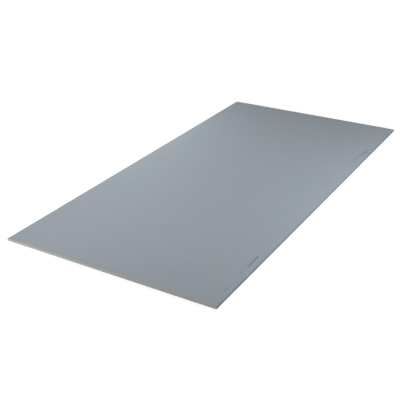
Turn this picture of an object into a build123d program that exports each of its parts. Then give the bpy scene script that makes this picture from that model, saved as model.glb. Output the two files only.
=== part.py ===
import os

from build123d import *

# A drywall sheet lying on its back, face up, in millimetres.
# X runs along the sheet, Y across it and Z up. The origin is the middle of the back.

# Stock size
sheet_length = 2438.4  # 8 ft
sheet_width = 1219.2  # 4 ft
sheet_thickness = 12.7  # 1/2 in, papers included

# Tapered long edges, which leave room for joint tape and filler
taper_width = 63.5
taper_depth = 1.8
shoulder_radius = 400.0  # eases the face into the taper
face_corner_radius = 1.5  # outside of the crease between the taper and the edge
back_corner_radius = 1.0  # outside of the crease between the edge and the back

# Papers
face_paper_thickness = 0.33
back_paper_thickness = 0.30
fold_width = 25.0  # how far the folded face paper reaches under the core
back_paper_margin = 6.0  # how far the back paper stops short of each long edge

# Levels and widths that follow from the sizes above
half_width = sheet_width / 2
shoulder = half_width - taper_width
edge_top = sheet_thickness - taper_depth
fold_underside = back_paper_thickness
width_between_folds = sheet_width - 2 * fold_width
back_paper_width = sheet_width - 2 * back_paper_margin

os.makedirs("parts", exist_ok=True)

# Outside of the wrap, which is the sheet's whole section but for the back paper.
# From the lowest level up, its corners are the two at the back, the two at the top
# of the long edges and the two shoulders.
with BuildSketch(Plane.YZ) as wrapped_section:
    with BuildLine():
        Polyline(
            (-half_width, fold_underside),
            (half_width, fold_underside),
            (half_width, edge_top),
            (shoulder, sheet_thickness),
            (-shoulder, sheet_thickness),
            (-half_width, edge_top),
            close=True,
        )
    make_face()
    fillet(wrapped_section.vertices().group_by(Axis.Y)[2], radius=shoulder_radius)
    fillet(wrapped_section.vertices().group_by(Axis.Y)[1], radius=face_corner_radius)
    fillet(wrapped_section.vertices().group_by(Axis.Y)[0], radius=back_corner_radius)

# The core fills the wrap, and between the two folds it comes down to the back paper
with BuildSketch(Plane.YZ) as core_section:
    add(wrapped_section.sketch_local)
    offset(amount=-face_paper_thickness)
    with Locations((0, fold_underside)):
        Rectangle(width_between_folds, face_paper_thickness, align=(Align.CENTER, Align.MIN))

with BuildPart() as gypsum_core:
    with BuildSketch(Plane.YZ):
        add(core_section.sketch_local)
    extrude(amount=sheet_length / 2, both=True)
gypsum_core.part.label = "gypsum_core"
export_step(gypsum_core.part, "parts/gypsum_core.step")

# The face paper is one sheet: over the face, down both tapers, round the long edges and under the core
with BuildPart() as face_paper:
    with BuildSketch(Plane.YZ):
        add(wrapped_section.sketch_local)
        add(core_section.sketch_local, mode=Mode.SUBTRACT)
    extrude(amount=sheet_length / 2, both=True)
face_paper.part.label = "face_paper"
export_step(face_paper.part, "parts/face_paper.step")

# The back paper laps over both folds and is what the sheet lies on
with BuildPart() as back_paper:
    with BuildSketch(Plane.YZ):
        Rectangle(back_paper_width, back_paper_thickness, align=(Align.CENTER, Align.MIN))
    extrude(amount=sheet_length / 2, both=True)
back_paper.part.label = "back_paper"
export_step(back_paper.part, "parts/back_paper.step")
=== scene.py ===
import math

import bpy
import numpy as np
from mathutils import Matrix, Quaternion, Vector, noise


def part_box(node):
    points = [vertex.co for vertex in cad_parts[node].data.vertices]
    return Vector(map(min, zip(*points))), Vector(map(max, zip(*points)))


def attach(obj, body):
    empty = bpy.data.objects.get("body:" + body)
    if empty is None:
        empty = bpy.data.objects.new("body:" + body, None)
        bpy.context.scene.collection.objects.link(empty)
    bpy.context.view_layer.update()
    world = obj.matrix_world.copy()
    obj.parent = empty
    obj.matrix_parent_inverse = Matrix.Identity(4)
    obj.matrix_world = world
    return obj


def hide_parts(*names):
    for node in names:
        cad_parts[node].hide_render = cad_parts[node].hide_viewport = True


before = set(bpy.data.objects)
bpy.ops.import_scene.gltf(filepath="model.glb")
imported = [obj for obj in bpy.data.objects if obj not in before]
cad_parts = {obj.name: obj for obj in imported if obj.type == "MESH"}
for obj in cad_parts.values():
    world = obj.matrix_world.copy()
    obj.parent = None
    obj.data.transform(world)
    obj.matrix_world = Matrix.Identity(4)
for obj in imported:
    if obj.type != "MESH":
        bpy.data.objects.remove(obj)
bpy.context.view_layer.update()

# A drywall sheet on its back, face up, in metres. X runs along it, Y across it and Z up.

MM = 0.001

# Sizes of the sheet, read from model.glb or as in its solids
HALF_LENGTH, HALF_WIDTH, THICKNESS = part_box("face_paper")[1]
TAPER_WIDTH = 63.5 * MM
TAPER_DEPTH = 1.8 * MM
SHOULDER_RADIUS = 400 * MM
FACE_CORNER_RADIUS = 1.5 * MM
BACK_CORNER_RADIUS = 1.0 * MM
FOLD_WIDTH = 25 * MM
FACE_PAPER = 0.33 * MM
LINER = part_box("back_paper")[1].z
LINER_HALF_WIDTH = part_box("back_paper")[1].y

# Points: close together at the cut ends, and in steps further apart away from them
GYPSUM_SPACING = 0.7 * MM
PAPER_SPACING = 1.5 * MM
THINNING_STEPS = 6
FIRST_STEP = 2 * MM
MIDDLE_SPACING = 60 * MM
BACK_CORNER_POINTS = 7
FACE_CORNER_POINTS = 9
SHOULDER_POINTS = 7
FOLD_STEP_WIDTH = GYPSUM_SPACING / 20  # across the step under the core where a fold ends
STRAIGHT = 1e-4  # sine of the turn under which an outline counts as straight
SHARP_ANGLE = math.radians(30)

# Relief of the gypsum at a cut end, all of it inside the plane of the cut
GRAIN_SIZE = 2.2 * MM
GRAIN_DEPTH = 0.09 * MM
GRAIN_FRACTAL = (1, 2, 3)  # how fast its finer layers fade, how much finer each one is, and how many
SAW_LINE_SPACING = 4.2 * MM
SAW_LINE_DEPTH = 0.07 * MM
SAW_LINE_LEAN = 0.35
CRUMBLE_DEPTH = 0.6 * MM  # lost beside the papers
CRUMBLE_REACH = 1.3 * MM
CRUMBLE_PATCH = 9 * MM
CRUMBLE_FADE = 1.5  # the higher, the closer to the papers the crumbling stays
PITS_PER_END = 1200
PIT_RADII = (0.6 * MM, 1.4 * MM)
LARGE_PIT_RARITY = 8  # the higher, the fewer pits are much larger than the smallest
PIT_STEEPNESS = 0.7  # depth as a share of radius
PIT_RAGGEDNESS = 0.6  # how far the grain pulls a pit's rim in and out, as a share of radius
PIT_REACH = 1.5  # how far across the sheet from its middle a pit may go, in radii

# Ragged edges of the papers
RAG_SIZE = 3 * MM
RAG_DEPTH = 0.2 * MM
NICK_SIZE = 12 * MM
NICK_DEPTH = 1.6 * MM
NICK_LEVEL = 0.42  # the noise, which goes from -1 to 1, cuts nicks where it is above this
NICK_SEED = 0.3  # keeps the nicks' noise apart from the rag's
LINER_WANDER = 0.7 * MM  # of the liner's long edges, which are slit and not folded
LINER_WAVE = 250 * MM  # length of that wander's bumps

rng = np.random.default_rng(seed=12)


def wander(places, size, seed):
    """Smooth noise from -1 to 1 along a line of places, with bumps about this size."""
    return np.array([noise.noise(Vector((place / size, seed, 0.5))) for place in places])


# Outlines across the sheet, as rows of points (y, z)

def arc(centre, radius, start, stop, count):
    """Points on an arc between two angles, in degrees from the Y axis."""
    angles = np.radians(np.linspace(start, stop, count))
    return np.column_stack([centre[0] + radius * np.cos(angles), centre[1] + radius * np.sin(angles)])


def wrap_outline(inset):
    """The face paper's outline, this far inside its outside, from the right fold's end to the left's."""
    lean = math.atan2(TAPER_DEPTH, TAPER_WIDTH)
    taper_normal = 90 - math.degrees(lean)
    back_centre = (HALF_WIDTH - BACK_CORNER_RADIUS, LINER + BACK_CORNER_RADIUS)
    face_centre = (
        HALF_WIDTH - FACE_CORNER_RADIUS,
        THICKNESS - TAPER_DEPTH - FACE_CORNER_RADIUS * (1 - math.sin(lean)) / math.cos(lean),
    )
    shoulder_centre = (
        HALF_WIDTH - TAPER_WIDTH - SHOULDER_RADIUS * math.tan(lean / 2),
        THICKNESS - SHOULDER_RADIUS,
    )
    half = np.vstack([
        (HALF_WIDTH - FOLD_WIDTH, LINER + inset),
        arc(back_centre, BACK_CORNER_RADIUS - inset, -90, 0, BACK_CORNER_POINTS),
        arc(face_centre, FACE_CORNER_RADIUS - inset, 0, taper_normal, FACE_CORNER_POINTS),
        arc(shoulder_centre, SHOULDER_RADIUS - inset, taper_normal, 90, SHOULDER_POINTS),
    ])
    return np.vstack([half, half[::-1] * (-1, 1)])


def divide(outline, guide, spacing):
    """The outline with its stretches divided, as often as the guide's must be to keep the spacing."""
    spots = [outline[:1]]
    for index in range(len(outline) - 1):
        parts = math.ceil(np.linalg.norm(guide[index + 1] - guide[index]) / spacing)
        shares = np.arange(1, parts + 1)[:, None] / parts
        spots.append(outline[index] + (outline[index + 1] - outline[index]) * shares)
    return np.vstack(spots)


# Meshes

def build_piece(name, points, faces, raw_faces=0):
    """A mesh object from points and faces, of which the first raw_faces have the second finish."""
    mesh = bpy.data.meshes.new(name)
    mesh.from_pydata(np.asarray(points).tolist(), [], faces)
    mesh.polygons.foreach_set("material_index", [1] * raw_faces + [0] * (len(faces) - raw_faces))
    mesh.shade_smooth()
    mesh.set_sharp_from_angle(angle=SHARP_ANGLE)
    mesh.update()
    piece = bpy.data.objects.new(name, mesh)
    bpy.context.scene.collection.objects.link(piece)
    return piece


def corner_spots(section):
    """The spots of a closed outline where it turns."""
    ahead = np.roll(section, -1, axis=0) - section
    behind = section - np.roll(section, 1, axis=0)
    ahead /= np.linalg.norm(ahead, axis=1)[:, None]
    behind /= np.linalg.norm(behind, axis=1)[:, None]
    turn = ahead[:, 0] * behind[:, 1] - ahead[:, 1] * behind[:, 0]
    return set(np.nonzero(np.abs(turn) > STRAIGHT)[0].tolist()) | {0}


def thinned(spots, fixed):
    """Every other spot of a ring, and all the fixed ones."""
    kept = []
    skipped = True
    for spot in spots:
        skipped = not (skipped or spot in fixed)
        if not skipped:
            kept.append(spot)
    return kept


def bridge(first, second):
    """Faces between two rings of spots and point numbers, where one may have spots that the other lacks."""
    faces = []
    shared = np.intersect1d(first[0], second[0])
    for start, stop in zip(shared, np.append(shared[1:], np.inf)):
        sides = []
        for spots, numbers in (first, second):
            low, high = np.searchsorted(spots, [start, stop])
            sides.append(list(numbers[low:high]) + [numbers[high % len(numbers)]])
        faces.append(sides[0] + sides[1][::-1])
    return faces


def run_along(section, rims, rim_numbers, start):
    """Points and faces of a piece's long surface, from the rim of one cut end to that of the other.

    section holds the rim's points (y, z), rims how far each stands back at either end, and
    rim_numbers their point numbers there. New points are numbered from start.
    """
    fixed = corner_spots(section)
    levels = [list(range(len(section)))]
    for _ in range(THINNING_STEPS):
        levels.append(thinned(levels[-1], fixed))
    depths = rims.max() + FIRST_STEP * (2 ** np.arange(THINNING_STEPS) - 0.5)
    reach = HALF_LENGTH - depths[-1]
    middle = np.linspace(-reach, reach, 1 + math.ceil(2 * reach / MIDDLE_SPACING))
    stations = (
        [(depth - HALF_LENGTH, level) for depth, level in zip(depths[:-1], levels[1:-1])]
        + [(place, levels[-1]) for place in middle]
        + [(HALF_LENGTH - depth, level) for depth, level in zip(depths[-2::-1], levels[-2:0:-1])]
    )
    points, rings = [], [(np.array(levels[0]), np.array(rim_numbers[0]))]
    for place, level in stations:
        rings.append((np.array(level), start + np.arange(len(level))))
        start += len(level)
        points.append(np.column_stack([np.full(len(level), place), section[level]]))
    rings.append((np.array(levels[0]), np.array(rim_numbers[1])))
    faces = [face for pair in zip(rings[:-1], rings[1:]) for face in bridge(*pair)]
    return np.vstack(points), faces


# Cast gypsum core

def cut_relief(ys, zs, seed):
    """How far each point of a cut end lies inside the plane of the cut."""
    grain = np.array([
        [noise.fractal(Vector((y, z, seed * GRAIN_SIZE)) / GRAIN_SIZE, *GRAIN_FRACTAL) for z in column]
        for y, column in zip(ys, zs)
    ])
    depth = GRAIN_DEPTH * (1 + grain)
    along_cut = (ys[:, None] + SAW_LINE_LEAN * zs) / SAW_LINE_SPACING
    depth += SAW_LINE_DEPTH * (1 + np.sin(2 * math.pi * along_cut + seed))
    for side, rim in enumerate((zs[:, :1], zs[:, -1:])):
        looseness = 0.5 + 0.5 * wander(ys, CRUMBLE_PATCH, seed + side)
        nearness = np.clip(1 - np.abs(zs - rim) / CRUMBLE_REACH, 0, 1)
        depth += CRUMBLE_DEPTH * looseness[:, None] * nearness ** CRUMBLE_FADE
    for _ in range(PITS_PER_END):
        pit_y, pit_z = rng.uniform(ys[0], ys[-1]), rng.uniform(zs.min(), zs.max())
        radius = PIT_RADII[0] + (PIT_RADII[1] - PIT_RADII[0]) * rng.random() ** LARGE_PIT_RARITY
        near = np.abs(ys - pit_y) < PIT_REACH * radius
        away = np.hypot(ys[near][:, None] - pit_y, zs[near] - pit_z) / radius
        away += PIT_RAGGEDNESS * grain[near]
        hollow = PIT_STEEPNESS * radius * np.sqrt(np.clip(1 - away ** 2, 0, 1))
        depth[near] = np.maximum(depth[near], hollow)
    return np.clip(depth, 0, None)


def gypsum_slab():
    """The core, whose two cut ends are chalky, saw-marked and pitted with air."""
    wrap = wrap_outline(FACE_PAPER)
    right = wrap[wrap[:, 0] > 0]
    under = right[right[:, 1] < THICKNESS / 2]
    over = right[right[:, 1] > THICKNESS / 2][::-1]
    side = right[:, 0].max()
    fold_end = under[0, 0]
    fold_step = fold_end - FOLD_STEP_WIDTH
    across = np.concatenate([
        np.linspace(0, side, round(side / GYPSUM_SPACING)),
        under[:, 0],
        over[:, 0],
        [fold_step],
    ])
    ys = np.unique(np.concatenate([-across, across]).round(6))
    lows = np.where(np.abs(ys) < (fold_step + fold_end) / 2, LINER, np.interp(np.abs(ys), *under.T))
    highs = np.interp(np.abs(ys), *over.T)
    rows = 1 + round(THICKNESS / GYPSUM_SPACING)
    zs = lows[:, None] + (highs - lows)[:, None] * np.linspace(0, 1, rows)

    numbers = np.arange(len(ys) * rows).reshape(len(ys), rows)
    rim = np.concatenate([numbers[:, 0], numbers[-1, 1:], numbers[-2::-1, -1], numbers[0, -2:0:-1]])
    corners = numbers[:-1, :-1], numbers[1:, :-1], numbers[1:, 1:], numbers[:-1, 1:]
    quads = np.stack(corners, -1).reshape(-1, 4)
    depths = np.stack([cut_relief(ys, zs, seed) for seed in (1.0, 2.0)]).reshape(2, -1)
    level = np.column_stack([np.repeat(ys, rows), zs.ravel()])
    near = np.column_stack([depths[0] - HALF_LENGTH, level])
    far = np.column_stack([HALF_LENGTH - depths[1], level])
    long_points, long_faces = run_along(
        level[rim], depths[:, rim], (rim, rim + numbers.size), 2 * numbers.size
    )
    faces = quads[:, ::-1].tolist() + (quads + numbers.size).tolist() + long_faces
    return build_piece("gypsum_slab", np.vstack([near, far, long_points]), faces)


# Papers

def ragged_edge(along, seed):
    """How far a paper's cut edge stands back at each place along it: a light rag and a few nicks."""
    rag = RAG_DEPTH * (0.5 + 0.5 * wander(along, RAG_SIZE, seed))
    nicks = np.clip(wander(along, NICK_SIZE, seed + NICK_SEED) - NICK_LEVEL, 0, None)
    return rag + NICK_DEPTH * nicks


def paper_piece(name, outside, inside, seed):
    """A closed skin between two outlines of as many points, ragged at its cut ends."""
    count = len(outside)
    section = np.vstack([outside, inside[::-1]])
    along = np.concatenate([[0], np.cumsum(np.linalg.norm(np.diff(outside, axis=0), axis=1))])
    edges = [ragged_edge(along, seed + end) for end in (0, 1)]
    rims = np.stack([np.concatenate([edge, edge[::-1]]) for edge in edges])
    near = np.column_stack([rims[0] - HALF_LENGTH, section])
    far = np.column_stack([HALF_LENGTH - rims[1], section])
    numbers = np.arange(2 * count)
    skin, lining = numbers[:count], numbers[:count - 1:-1]
    cut = np.stack([skin[:-1], skin[1:], lining[1:], lining[:-1]], -1)
    cuts = cut[:, ::-1].tolist() + (cut + 2 * count).tolist()
    long_points, long_faces = run_along(section, rims, (numbers, numbers + 2 * count), 4 * count)
    return build_piece(name, np.vstack([near, far, long_points]), cuts + long_faces, raw_faces=len(cuts))


def face_paper_wrap():
    """The grey face paper: over the face, down the tapers, round the long edges and under the core."""
    outside, inside = wrap_outline(0), wrap_outline(FACE_PAPER)
    return paper_piece(
        "face_paper_wrap",
        divide(outside, outside, PAPER_SPACING),
        divide(inside, outside, PAPER_SPACING),
        seed=20,
    )


def back_liner():
    """The liner over the back, which laps both folds and whose slit edges waver a little."""
    under = np.array([(-LINER_HALF_WIDTH, 0), (LINER_HALF_WIDTH, 0)])
    under = divide(under, under, PAPER_SPACING)
    piece = paper_piece("back_liner", under, under + (0, LINER), seed=40)
    for vertex in piece.data.vertices:
        if abs(vertex.co.y) > LINER_HALF_WIDTH - PAPER_SPACING / 2:
            side = math.copysign(1, vertex.co.y)
            sway = noise.noise(Vector((vertex.co.x / LINER_WAVE, side, 0)))
            vertex.co.y -= side * LINER_WANDER * (0.5 + 0.5 * sway)
    return piece


# Finishes

# Places of the inputs and the output of a node that mixes two colours
SHARE, FIRST, SECOND = 0, 6, 7
MIXED = 2


def linear(colour):
    """A colour as Blender takes it, from sRGB hex."""
    levels = [int(colour[start:start + 2], 16) / 255 for start in (1, 3, 5)]
    return [*(v / 12.92 if v <= 0.04045 else ((v + 0.055) / 1.055) ** 2.4 for v in levels), 1]


def add_node(tree, kind, inputs=None, **settings):
    """A shader node with these settings, and with its inputs set to values or linked to outputs."""
    node = tree.nodes.new("ShaderNode" + kind)
    for name, value in settings.items():
        setattr(node, name, value)
    for name, value in (inputs or {}).items():
        if isinstance(value, bpy.types.NodeSocket):
            tree.links.new(value, node.inputs[name])
        else:
            node.inputs[name].default_value = value
    return node


def new_finish(name):
    """A new material, its node tree, and the place of each point on the surface in metres."""
    material = bpy.data.materials.new(name)
    material.use_nodes = True
    material.node_tree.nodes.clear()
    return material, material.node_tree, add_node(material.node_tree, "TexCoord").outputs["Object"]


def finish_surface(tree, colour, roughness, height, relief, specular):
    """The shader of a dull surface, with its relief in metres."""
    bump = add_node(tree, "Bump", {"Height": height, "Distance": relief, "Strength": 1.0})
    shader = add_node(tree, "BsdfPrincipled", {
        "Base Color": colour,
        "Roughness": roughness,
        "Normal": bump.outputs["Normal"],
        "Specular IOR Level": specular,
    })
    add_node(tree, "OutputMaterial", {"Surface": shader.outputs["BSDF"]})


# Face paper: clouds from the pulp, streaks from the rollers, and fibres of other papers in it
PULP_CLOUD = 45 * MM
ROLLER_STREAK = (900 * MM, 14 * MM, 14 * MM)
# A paper fibre is 1 to 3 mm long and 0.03 mm wide. It is drawn wider, so that it shows.
DARK_FIBRE = (4 * MM, 0.8 * MM, 0.8 * MM)
PALE_FIBRE = (1.2 * MM, 3.5 * MM, 1.2 * MM)
FIBRE_BEND = 1.2
# Paper tooth is about 0.1 mm, and is drawn coarser, so that it shows
PAPER_TOOTH = 0.9 * MM
WORN_AND_SHADED_WIDTH = 5 * MM  # of the darker strip along each long edge: partly where stacking rubs the paper, partly painted shade on the sheet's sides
WORN_AND_SHADED_PATCH = (70 * MM, 6 * MM, 6 * MM)

# Plain ticks in ink along the right taper, one to each pitch along X, counted from the middle.
# A row is its first tick, how many ticks it has, its middle across, and how strong its ink is.
TICK_ROWS = (
    (-122, 5, -576 * MM, 0.4),
    (-104, 3, -574 * MM, 0.35),
    (-96, 13, -573 * MM, 0.95),
    (59, 17, -563 * MM, 0.35),
    (75, 13, -573 * MM, 0.9),
)
TICK_PITCH = 9 * MM
TICK_WIDTH = 5 * MM
TICK_HEIGHT = 13 * MM
INK_MOTTLE = 14 * MM


def stretched_noise(tree, place, sizes, detail, bend=0.0):
    """Noise from 0 to 1 with bumps about as long as these sizes in X, Y and Z, and bent where asked."""
    scaled = add_node(tree, "VectorMath", {0: place, 1: [1 / size for size in sizes]}, operation="MULTIPLY")
    return add_node(tree, "TexNoise", {
        "Vector": scaled.outputs[0],
        "Scale": 1.0,
        "Detail": detail,
        "Distortion": bend,
    }).outputs["Fac"]


def tick_ink(tree, place):
    """How much ink lies on the paper, from 0 to 1: rows of upright ticks, thin in patches."""
    split = add_node(tree, "SeparateXYZ", {0: place}).outputs
    x, y = split["X"], split["Y"]
    printed = 0.0
    for first, count, across, strength in TICK_ROWS:
        reach = count * TICK_PITCH / 2
        middle = first * TICK_PITCH + reach
        along = add_node(tree, "Math", {0: x, 1: middle, 2: reach}, operation="COMPARE")
        level = add_node(tree, "Math", {0: y, 1: across, 2: TICK_HEIGHT / 2}, operation="COMPARE")
        spot = add_node(tree, "Math", {0: along.outputs[0], 1: level.outputs[0]}, operation="MULTIPLY")
        printed = add_node(
            tree, "Math", {0: spot.outputs[0], 1: strength, 2: printed}, operation="MULTIPLY_ADD"
        ).outputs[0]
    step = add_node(tree, "Math", {0: x, 1: TICK_PITCH, 2: 0.0}, operation="WRAP")
    tick = add_node(tree, "Math", {0: step.outputs[0], 1: TICK_WIDTH}, operation="LESS_THAN")
    mottle = add_node(tree, "MapRange", {
        "Value": stretched_noise(tree, place, [INK_MOTTLE] * 3, detail=3),
        "From Min": 0.38,
        "From Max": 0.55,
        "To Min": 0.3,
        "To Max": 1.0,
    })
    inked = add_node(tree, "Math", {0: tick.outputs[0], 1: mottle.outputs[0]}, operation="MULTIPLY")
    return add_node(
        tree, "Math", {0: printed, 1: inked.outputs[0]}, operation="MULTIPLY", use_clamp=True
    ).outputs[0]


def wear_and_painted_shade_share(tree, place):
    """How much the paper is darkened, from 0 to 1: most at the long edges, and unevenly along them. This is
    partly rubbing from stacking, partly painted shade on the sheet's sides.
    """
    across = add_node(tree, "SeparateXYZ", {0: place}).outputs["Y"]
    beside = add_node(tree, "Math", {0: across}, operation="ABSOLUTE")
    nearness = add_node(tree, "MapRange", {
        "Value": beside.outputs[0],
        "From Min": HALF_WIDTH - WORN_AND_SHADED_WIDTH,
        "From Max": HALF_WIDTH - WORN_AND_SHADED_WIDTH / 4,
    })
    patchy_wear_and_shade = add_node(tree, "MapRange", {
        "Value": stretched_noise(tree, place, WORN_AND_SHADED_PATCH, detail=4),
        "From Min": 0.3,
        "From Max": 0.6,
        "To Min": 0.5,
        "To Max": 1.0,
    })
    return add_node(
        tree, "Math", {0: nearness.outputs[0], 1: patchy_wear_and_shade.outputs[0]}, operation="MULTIPLY"
    ).outputs[0]


def calendered_face_paper():
    """Grey paper pressed smooth between rollers: flat and even, with soft clouds and a dull sheen."""
    material, tree, place = new_finish("calendered_face_paper")
    clouds = stretched_noise(tree, place, [PULP_CLOUD] * 3, detail=3)
    streaks = stretched_noise(tree, place, ROLLER_STREAK, detail=2)
    tooth = stretched_noise(tree, place, [PAPER_TOOTH] * 3, detail=2)
    clouded = add_node(tree, "Mix", {
        SHARE: clouds,
        FIRST: linear("#929aa2"),
        SECOND: linear("#99a1a9"),
    }, data_type="RGBA")
    streak_share = add_node(tree, "MapRange", {
        "Value": streaks,
        "From Min": 0.45,
        "From Max": 0.75,
        "To Max": 0.1,
    })
    streaked = add_node(tree, "Mix", {
        SHARE: streak_share.outputs[0],
        FIRST: clouded.outputs[MIXED],
        SECOND: linear("#a0a7ae"),
    }, data_type="RGBA")
    dark_fibres = add_node(tree, "MapRange", {
        "Value": stretched_noise(tree, place, DARK_FIBRE, detail=2, bend=FIBRE_BEND),
        "From Min": 0.58,
        "From Max": 0.7,
        "To Max": 0.4,
    })
    darkened = add_node(tree, "Mix", {
        SHARE: dark_fibres.outputs[0],
        FIRST: streaked.outputs[MIXED],
        SECOND: linear("#7b8288"),
    }, data_type="RGBA")
    pale_fibres = add_node(tree, "MapRange", {
        "Value": stretched_noise(tree, place, PALE_FIBRE, detail=2, bend=FIBRE_BEND),
        "From Min": 0.58,
        "From Max": 0.7,
        "To Max": 0.4,
    })
    flecked = add_node(tree, "Mix", {
        SHARE: pale_fibres.outputs[0],
        FIRST: darkened.outputs[MIXED],
        SECOND: linear("#b0b7bd"),
    }, data_type="RGBA")
    # A darker strip round each long edge: partly rubbing from stacking, partly painted shade on the sheet's
    # sides
    worn_and_shaded = add_node(tree, "Mix", {
        SHARE: wear_and_painted_shade_share(tree, place),
        FIRST: flecked.outputs[MIXED],
        SECOND: linear("#7e8387"),
    }, data_type="RGBA")
    printed = add_node(tree, "Mix", {
        SHARE: tick_ink(tree, place),
        FIRST: worn_and_shaded.outputs[MIXED],
        SECOND: linear("#3f6b72"),
    }, data_type="RGBA")
    roughness = add_node(tree, "MapRange", {"Value": clouds, "To Min": 0.74, "To Max": 0.86})
    finish_surface(
        tree, printed.outputs[MIXED], roughness.outputs[0], height=tooth, relief=0.04 * MM, specular=0.3
    )
    return material


# Cast gypsum: grain from its crystals, pores from its foam, and dust that the cut leaves
# The crystals are under 0.1 mm, and their grain is drawn coarser, so that it shows
CRYSTAL_GRAIN = 0.7 * MM
DUST_CLOUD = 18 * MM
FOAM = ((1.5 * MM, 0.36 * MM), (6 * MM, 1.0 * MM))  # spacing and radius of its fine and coarse bubbles
PORE_RIM = 0.8  # where the wall of a pore ends and its floor starts, as a share of radius
PAINTED_SHADE_DEPTHS = (0.35 * MM, 1.1 * MM)  # how far inside the cut a pit starts to take painted shade, and where that painted shade is darkest
PAINTED_PORE_SHADE = 0.28  # how much of the painted shade colour a pore or a deep pit takes


def cut_bubbles(tree, place, spacing, radius):
    """1 inside the round bubbles that the cut opens, and 0 between them."""
    spaced = add_node(tree, "VectorMath", {0: place, 1: [1 / spacing] * 3}, operation="MULTIPLY")
    cells = add_node(tree, "TexVoronoi", {"Vector": spaced.outputs[0], "Scale": 1.0})
    return add_node(tree, "MapRange", {
        "Value": cells.outputs["Distance"],
        "From Min": PORE_RIM * radius / spacing,
        "From Max": radius / spacing,
        "To Min": 1.0,
        "To Max": 0.0,
    }).outputs[0]


def cut_cast_gypsum():
    """Gypsum cast as foam and cut when dry: matt, cream white and chalky, with painted shade darkening its
    pores and pits.
    """
    material, tree, place = new_finish("cut_cast_gypsum")
    grain = stretched_noise(tree, place, [CRYSTAL_GRAIN] * 3, detail=4)
    dust = stretched_noise(tree, place, [DUST_CLOUD] * 3, detail=3)
    dusted = add_node(tree, "Mix", {
        SHARE: dust,
        FIRST: linear("#dcd9c4"),
        SECOND: linear("#e8e5d4"),
    }, data_type="RGBA")
    grain_share = add_node(tree, "MapRange", {
        "Value": grain,
        "From Min": 0.35,
        "From Max": 0.65,
        "To Min": 0.45,
        "To Max": 0.0,
    })
    grained = add_node(tree, "Mix", {
        SHARE: grain_share.outputs[0],
        FIRST: dusted.outputs[MIXED],
        SECOND: linear("#c8c4ae"),
    }, data_type="RGBA")
    fine, coarse = [cut_bubbles(tree, place, spacing, radius) for spacing, radius in FOAM]
    pores = add_node(tree, "Math", {0: fine, 1: coarse}, operation="MAXIMUM")
    along = add_node(tree, "SeparateXYZ", {0: place}).outputs["X"]
    from_middle = add_node(tree, "Math", {0: along}, operation="ABSOLUTE")
    pits = add_node(tree, "MapRange", {
        "Value": from_middle.outputs[0],
        "From Min": HALF_LENGTH - PAINTED_SHADE_DEPTHS[0],
        "From Max": HALF_LENGTH - PAINTED_SHADE_DEPTHS[1],
    })
    hollows = add_node(tree, "Math", {0: pores.outputs[0], 1: pits.outputs[0]}, operation="MAXIMUM")
    # Painted shade: pores and deep pits are darkened in colour, standing in for the shade inside them
    shade = add_node(tree, "Math", {0: hollows.outputs[0], 1: PAINTED_PORE_SHADE}, operation="MULTIPLY")
    painted_shade_in_hollows = add_node(tree, "Mix", {
        SHARE: shade.outputs[0],
        FIRST: grained.outputs[MIXED],
        SECOND: linear("#9c9583"),
    }, data_type="RGBA")
    relief = add_node(tree, "Math", {0: grain, 1: pores.outputs[0]}, operation="SUBTRACT")
    finish_surface(
        tree,
        painted_shade_in_hollows.outputs[MIXED],
        roughness=0.92,
        height=relief.outputs[0],
        relief=0.12 * MM,
        specular=0.25,
    )
    return material


# Liner: mixed waste paper, with longer fibres than the face paper's
# These fibres too are drawn wider than they are
LINER_FIBRE = (7 * MM, 1.3 * MM, 1.3 * MM)
CROSS_FIBRE = (1.3 * MM, 5 * MM, 1.3 * MM)
LINER_CLOUD = 30 * MM
FOLD_PRINT_WIDTH = 1.5 * MM  # from the middle to the edge of the line that each fold's end presses in


def unpressed_liner():
    """Brown-grey recycled paper, not pressed smooth: mottled, with dark and light fibres both ways."""
    material, tree, place = new_finish("unpressed_liner")
    clouds = stretched_noise(tree, place, [LINER_CLOUD] * 3, detail=4)
    clouded = add_node(tree, "Mix", {
        SHARE: clouds,
        FIRST: linear("#8a8173"),
        SECOND: linear("#a1998b"),
    }, data_type="RGBA")
    dark_fibres = add_node(tree, "MapRange", {
        "Value": stretched_noise(tree, place, LINER_FIBRE, detail=2),
        "From Min": 0.6,
        "From Max": 0.7,
        "To Max": 0.55,
    })
    darkened = add_node(tree, "Mix", {
        SHARE: dark_fibres.outputs[0],
        FIRST: clouded.outputs[MIXED],
        SECOND: linear("#6b6254"),
    }, data_type="RGBA")
    light_fibres = add_node(tree, "MapRange", {
        "Value": stretched_noise(tree, place, CROSS_FIBRE, detail=2),
        "From Min": 0.62,
        "From Max": 0.72,
        "To Max": 0.6,
    })
    lightened = add_node(tree, "Mix", {
        SHARE: light_fibres.outputs[0],
        FIRST: darkened.outputs[MIXED],
        SECOND: linear("#bcb6a9"),
    }, data_type="RGBA")
    across = add_node(tree, "SeparateXYZ", {0: place}).outputs["Y"]
    beside = add_node(tree, "Math", {0: across}, operation="ABSOLUTE")
    off_fold = add_node(tree, "Math", {
        0: beside.outputs[0],
        1: HALF_WIDTH - FOLD_WIDTH,
    }, operation="SUBTRACT")
    fold_distance = add_node(tree, "Math", {0: off_fold.outputs[0]}, operation="ABSOLUTE")
    fold_print = add_node(tree, "MapRange", {
        "Value": fold_distance.outputs[0],
        "From Max": FOLD_PRINT_WIDTH,
        "To Min": 0.45,
        "To Max": 0.0,
    })
    pressed = add_node(tree, "Mix", {
        SHARE: fold_print.outputs[0],
        FIRST: lightened.outputs[MIXED],
        SECOND: linear("#6f6759"),
    }, data_type="RGBA")
    tooth = stretched_noise(tree, place, LINER_FIBRE, detail=4)
    finish_surface(
        tree, pressed.outputs[MIXED], roughness=0.85, height=tooth, relief=0.06 * MM, specular=0.3
    )
    return material


# A paper's plies are about 0.05 mm thick, and are drawn thicker, so that they show
PLY = (3 * MM, 3 * MM, 0.12 * MM)


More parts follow.
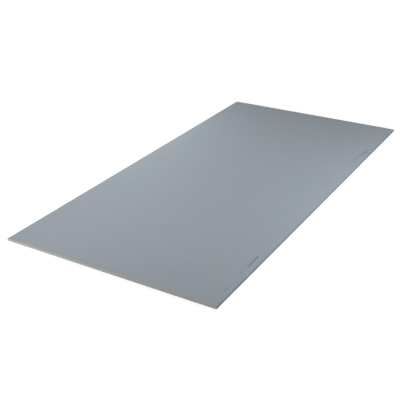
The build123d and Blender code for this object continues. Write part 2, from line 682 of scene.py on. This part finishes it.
def torn_edge(name, core_colour, ply_colour):
    """The cut edge of a paper: unpressed, fuzzy and matt, with its plies as lines."""
    material, tree, place = new_finish(name)
    plies = stretched_noise(tree, place, PLY, detail=2)
    colour = add_node(tree, "Mix", {
        SHARE: plies,
        FIRST: linear(core_colour),
        SECOND: linear(ply_colour),
    }, data_type="RGBA")
    finish_surface(
        tree, colour.outputs[MIXED], roughness=0.95, height=plies, relief=0.05 * MM, specular=0.2
    )
    return material


def cut_face_paper():
    """The grey paper where it is cut: mid grey, with paler lines."""
    return torn_edge("cut_face_paper", core_colour="#8f9090", ply_colour="#b9b8b2")


def cut_liner():
    """The liner where it is cut: brown-grey, with paler lines."""
    return torn_edge("cut_liner", core_colour="#7f7768", ply_colour="#aea699")


# Each piece, the solid that it stands for, its slot, and its finishes
PIECES = (
    (gypsum_slab, "gypsum_core", "gypsum", [cut_cast_gypsum]),
    (face_paper_wrap, "face_paper", "face_paper", [calendered_face_paper, cut_face_paper]),
    (back_liner, "back_paper", "back_paper", [unpressed_liner, cut_liner]),
)

for make_piece, node, slot, finishes in PIECES:
    piece = make_piece()
    for finish in finishes:
        piece.data.materials.append(finish())
    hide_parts(node)
    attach(piece, "root")


# Studio

FLOOR_RADIUS = 30
FLOOR_CORNERS = 64
FLOOR_LEVEL = -0.1 * MM  # just clear of the liner, so that the two don't share a plane
FLOOR_GLOW = 0.84  # added to the floor as it is seen beside the sheet, where 1 is white; being under 1 there, it paints shade beside the sheet
PAINTED_SHADE_REACH = (0.03, 0.4)  # how far from the sheet the glow starts to rise, and where it is white; within this the floor takes painted shade
FILL = 0.38  # light from all round
WHITE = linear("#ffffff")

# Each lamp: its name, its place, the point that it is turned towards, its side and its watts
LAMPS = (
    ("softbox_near_left", (-0.92, 0.65, 0.9), (-1.05, 0.83, 0), 1.4, 3.3),
    ("softbox_left", (0.44, 1.28, 0.9), (0.02, 1.05, 0), 1.2, 9.9),
    ("softbox_right", (0.36, -1.92, 1.47), (-0.5, -1.25, 0), 1.0, 32),
    ("softbox_near_end", (-2.01, 0.65, 0.49), (-1.33, 0.75, 0), 0.6, 2.6),
)

CAMERA_PLACE = (-3.514, -1.925, 1.835)
CAMERA_AIM = (-0.365, -0.015, 0.0127)
CAMERA_ROLL = -0.743  # in degrees
CAMERA_LENS = 66.6  # in millimetres


def seen_directly(tree):
    """1 where the camera sees a thing straight, in a reflection or through glass, and 0 elsewhere."""
    path = add_node(tree, "LightPath").outputs
    mirrored = add_node(tree, "Math", {
        0: path["Is Camera Ray"],
        1: path["Is Glossy Ray"],
    }, operation="MAXIMUM")
    return add_node(tree, "Math", {
        0: mirrored.outputs[0],
        1: path["Is Transmission Ray"],
    }, operation="MAXIMUM").outputs[0]


def pale_floor():
    """A floor that looks white, and is darker beside the sheet: partly the sheet's real shadow, partly
    painted shade from a weaker glow there.
    """
    angles = np.linspace(0, 2 * math.pi, FLOOR_CORNERS, endpoint=False)
    levels = np.full(FLOOR_CORNERS, FLOOR_LEVEL)
    rim = np.column_stack([FLOOR_RADIUS * np.cos(angles), FLOOR_RADIUS * np.sin(angles), levels])
    mesh = bpy.data.meshes.new("studio_floor")
    mesh.from_pydata(rim.tolist(), [], [list(range(FLOOR_CORNERS))])
    floor = bpy.data.objects.new("studio_floor", mesh)
    bpy.context.scene.collection.objects.link(floor)

    material, tree, place = new_finish("matt_white_paper_roll")
    seen = seen_directly(tree)
    # Lighter where it throws light on the sheet than where it is seen, under its glow
    colour = add_node(tree, "Mix", {
        SHARE: seen,
        FIRST: linear("#cccccc"),
        SECOND: linear("#828282"),
    }, data_type="RGBA")
    matt = add_node(tree, "BsdfDiffuse", {"Color": colour.outputs[MIXED]})
    either_way = add_node(tree, "VectorMath", {0: place}, operation="ABSOLUTE")
    past_edges = add_node(tree, "VectorMath", {
        0: either_way.outputs[0],
        1: (HALF_LENGTH, HALF_WIDTH, 0),
    }, operation="SUBTRACT")
    outside = add_node(tree, "VectorMath", {0: past_edges.outputs[0], 1: (0, 0, 0)}, operation="MAXIMUM")
    distance = add_node(tree, "VectorMath", {0: outside.outputs[0]}, operation="LENGTH")
    # Painted shade: the glow is weaker close to the sheet, so the floor there looks darker than its light
    # alone makes it
    glow = add_node(tree, "MapRange", {
        "Value": distance.outputs["Value"],
        "From Min": PAINTED_SHADE_REACH[0],
        "From Max": PAINTED_SHADE_REACH[1],
        "To Min": FLOOR_GLOW,
        "To Max": 1.0,
    })
    strength = add_node(tree, "Math", {0: seen, 1: glow.outputs[0]}, operation="MULTIPLY")
    white = add_node(tree, "Emission", {"Color": WHITE, "Strength": strength.outputs[0]})
    lit = add_node(tree, "AddShader", {0: matt.outputs[0], 1: white.outputs[0]})
    add_node(tree, "OutputMaterial", {"Surface": lit.outputs[0]})
    mesh.materials.append(material)


def white_world():
    """A white surround that lights the sheet at the fill's strength."""
    world = bpy.data.worlds.new("white_surround")
    world.use_nodes = True
    tree = world.node_tree
    tree.nodes.clear()
    strength = add_node(tree, "MapRange", {
        "Value": seen_directly(tree),
        "To Min": FILL,
        "To Max": 1.0,
    })
    background = add_node(tree, "Background", {"Color": WHITE, "Strength": strength.outputs[0]})
    add_node(tree, "OutputWorld", {"Surface": background.outputs[0]})
    bpy.context.scene.world = world


def softbox(name, place, aim, side, watts):
    """A square lamp at a place, turned towards a point."""
    light = bpy.data.lights.new(name, "AREA")
    light.shape = "SQUARE"
    light.size = side
    light.energy = watts
    lamp = bpy.data.objects.new(name, light)
    lamp.visible_camera = False
    lamp.location = place
    lamp.rotation_mode = "QUATERNION"
    lamp.rotation_quaternion = (Vector(aim) - Vector(place)).to_track_quat("-Z", "Y")
    bpy.context.scene.collection.objects.link(lamp)


def corner_camera(place, aim, roll, lens):
    """The camera, off the corner between the near end and the right long edge."""
    camera = bpy.data.objects.new("camera", bpy.data.cameras.new("camera"))
    camera.data.lens = lens
    camera.location = place
    level = (Vector(aim) - Vector(place)).to_track_quat("-Z", "Y")
    camera.rotation_mode = "QUATERNION"
    camera.rotation_quaternion = level @ Quaternion((0, 0, 1), math.radians(roll))
    bpy.context.scene.collection.objects.link(camera)
    bpy.context.scene.camera = camera


pale_floor()
white_world()
for lamp in LAMPS:
    softbox(*lamp)
corner_camera(CAMERA_PLACE, CAMERA_AIM, CAMERA_ROLL, CAMERA_LENS)
bpy.context.scene.view_settings.view_transform = "Standard"
